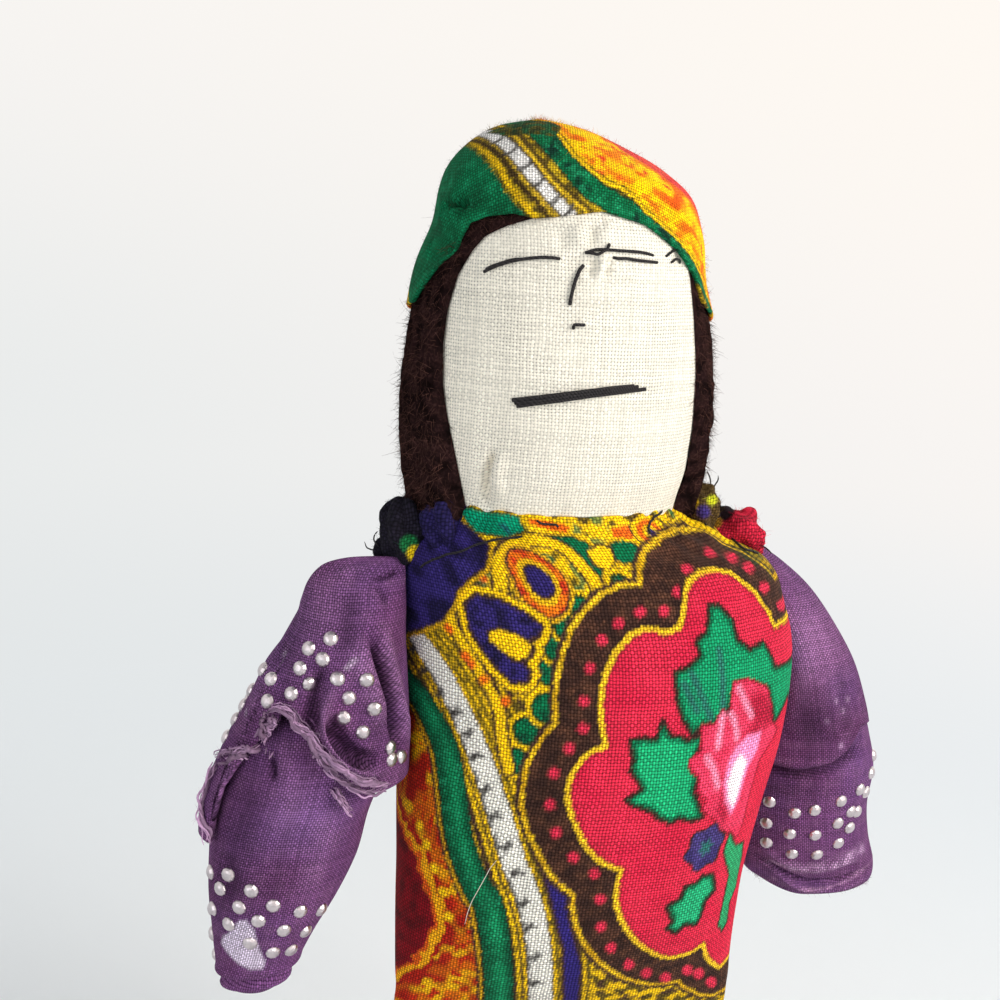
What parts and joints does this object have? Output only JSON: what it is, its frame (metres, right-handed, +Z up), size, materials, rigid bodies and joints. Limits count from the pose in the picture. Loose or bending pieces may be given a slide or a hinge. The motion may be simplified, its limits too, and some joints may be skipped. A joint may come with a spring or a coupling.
{
  "type": "cloth doll",
  "caption": "Stuffed rag doll with a cotton head, felt hair, headscarf, printed body sack, arms jointed at shoulder and elbow, and short legs sewn into the hip seam.",
  "frame": {"origin": "middle of the doll's outline, on the surface that its soles stand on", "axes": "+Z up, the doll faces -Y, and its left side is at +X"},
  "size_m": [0.1214, 0.0498, 0.233],
  "materials": {
    "printed": "matte",
    "filling": "matte",
    "cotton": "matte",
    "felt": "matte",
    "scarf": "matte",
    "thread": "matte",
    "navy": "matte",
    "purple": "matte"
  },
  "bodies": {
    "torso": {"body_skin": "printed", "torso_stuffing": "filling", "head_skin": "cotton", "head_stuffing": "filling", "hair": "felt", "headscarf": "scarf", "right_eye_stitch": "thread", "left_eye_stitch": "thread", "nose_stitch": "thread", "mouth_stitch": "thread", "right_shoulder_gather": "navy", "left_shoulder_gather": "navy"},
    "right_upper_arm": {"right_upper_sleeve": "purple", "right_upper_stuffing": "filling", "right_elbow_frill": "purple"},
    "right_forearm": {"right_forearm_sleeve": "purple", "right_forearm_stuffing": "filling"},
    "left_upper_arm": {"left_upper_sleeve": "purple", "left_upper_stuffing": "filling"},
    "left_forearm": {"left_forearm_sleeve": "purple", "left_forearm_stuffing": "filling"},
    "right_leg": {"right_leg_skin": "purple", "right_leg_stuffing": "filling"},
    "left_leg": {"left_leg_skin": "purple", "left_leg_stuffing": "filling"}
  },
  "joints": [
    {"name": "right_shoulder", "type": "hinge", "parent": "torso", "child": "right_upper_arm", "pos_m": [-0.0297, -0.00935, 0.1595], "axis": [0, 1, 0], "range_deg": [0, 75], "stiffness_Nm_per_rad": 0.03},
    {"name": "left_shoulder", "type": "hinge", "parent": "torso", "child": "left_upper_arm", "pos_m": [0.0341, 0.00565, 0.1595], "axis": [0, -1, 0], "range_deg": [0, 75], "stiffness_Nm_per_rad": 0.03},
    {"name": "right_elbow", "type": "hinge", "parent": "right_upper_arm", "child": "right_forearm", "pos_m": [-0.0443, -0.00935, 0.1235], "axis": [-1, 0, 0], "range_deg": [-10, 45], "stiffness_Nm_per_rad": 0.02},
    {"name": "left_elbow", "type": "hinge", "parent": "left_upper_arm", "child": "left_forearm", "pos_m": [0.0473, 0.01396, 0.12037], "axis": [-1, 0, 0], "range_deg": [-10, 45], "stiffness_Nm_per_rad": 0.02},
    {"name": "right_hip", "type": "hinge", "parent": "torso", "child": "right_leg", "pos_m": [-0.0105, -0.00235, 0.072], "axis": [-1, 0, 0], "range_deg": [-30, 85], "stiffness_Nm_per_rad": 0.03},
    {"name": "left_hip", "type": "hinge", "parent": "torso", "child": "left_leg", "pos_m": [0.0163, -0.00235, 0.072], "axis": [-1, 0, 0], "range_deg": [-30, 85], "stiffness_Nm_per_rad": 0.03}
  ]
}
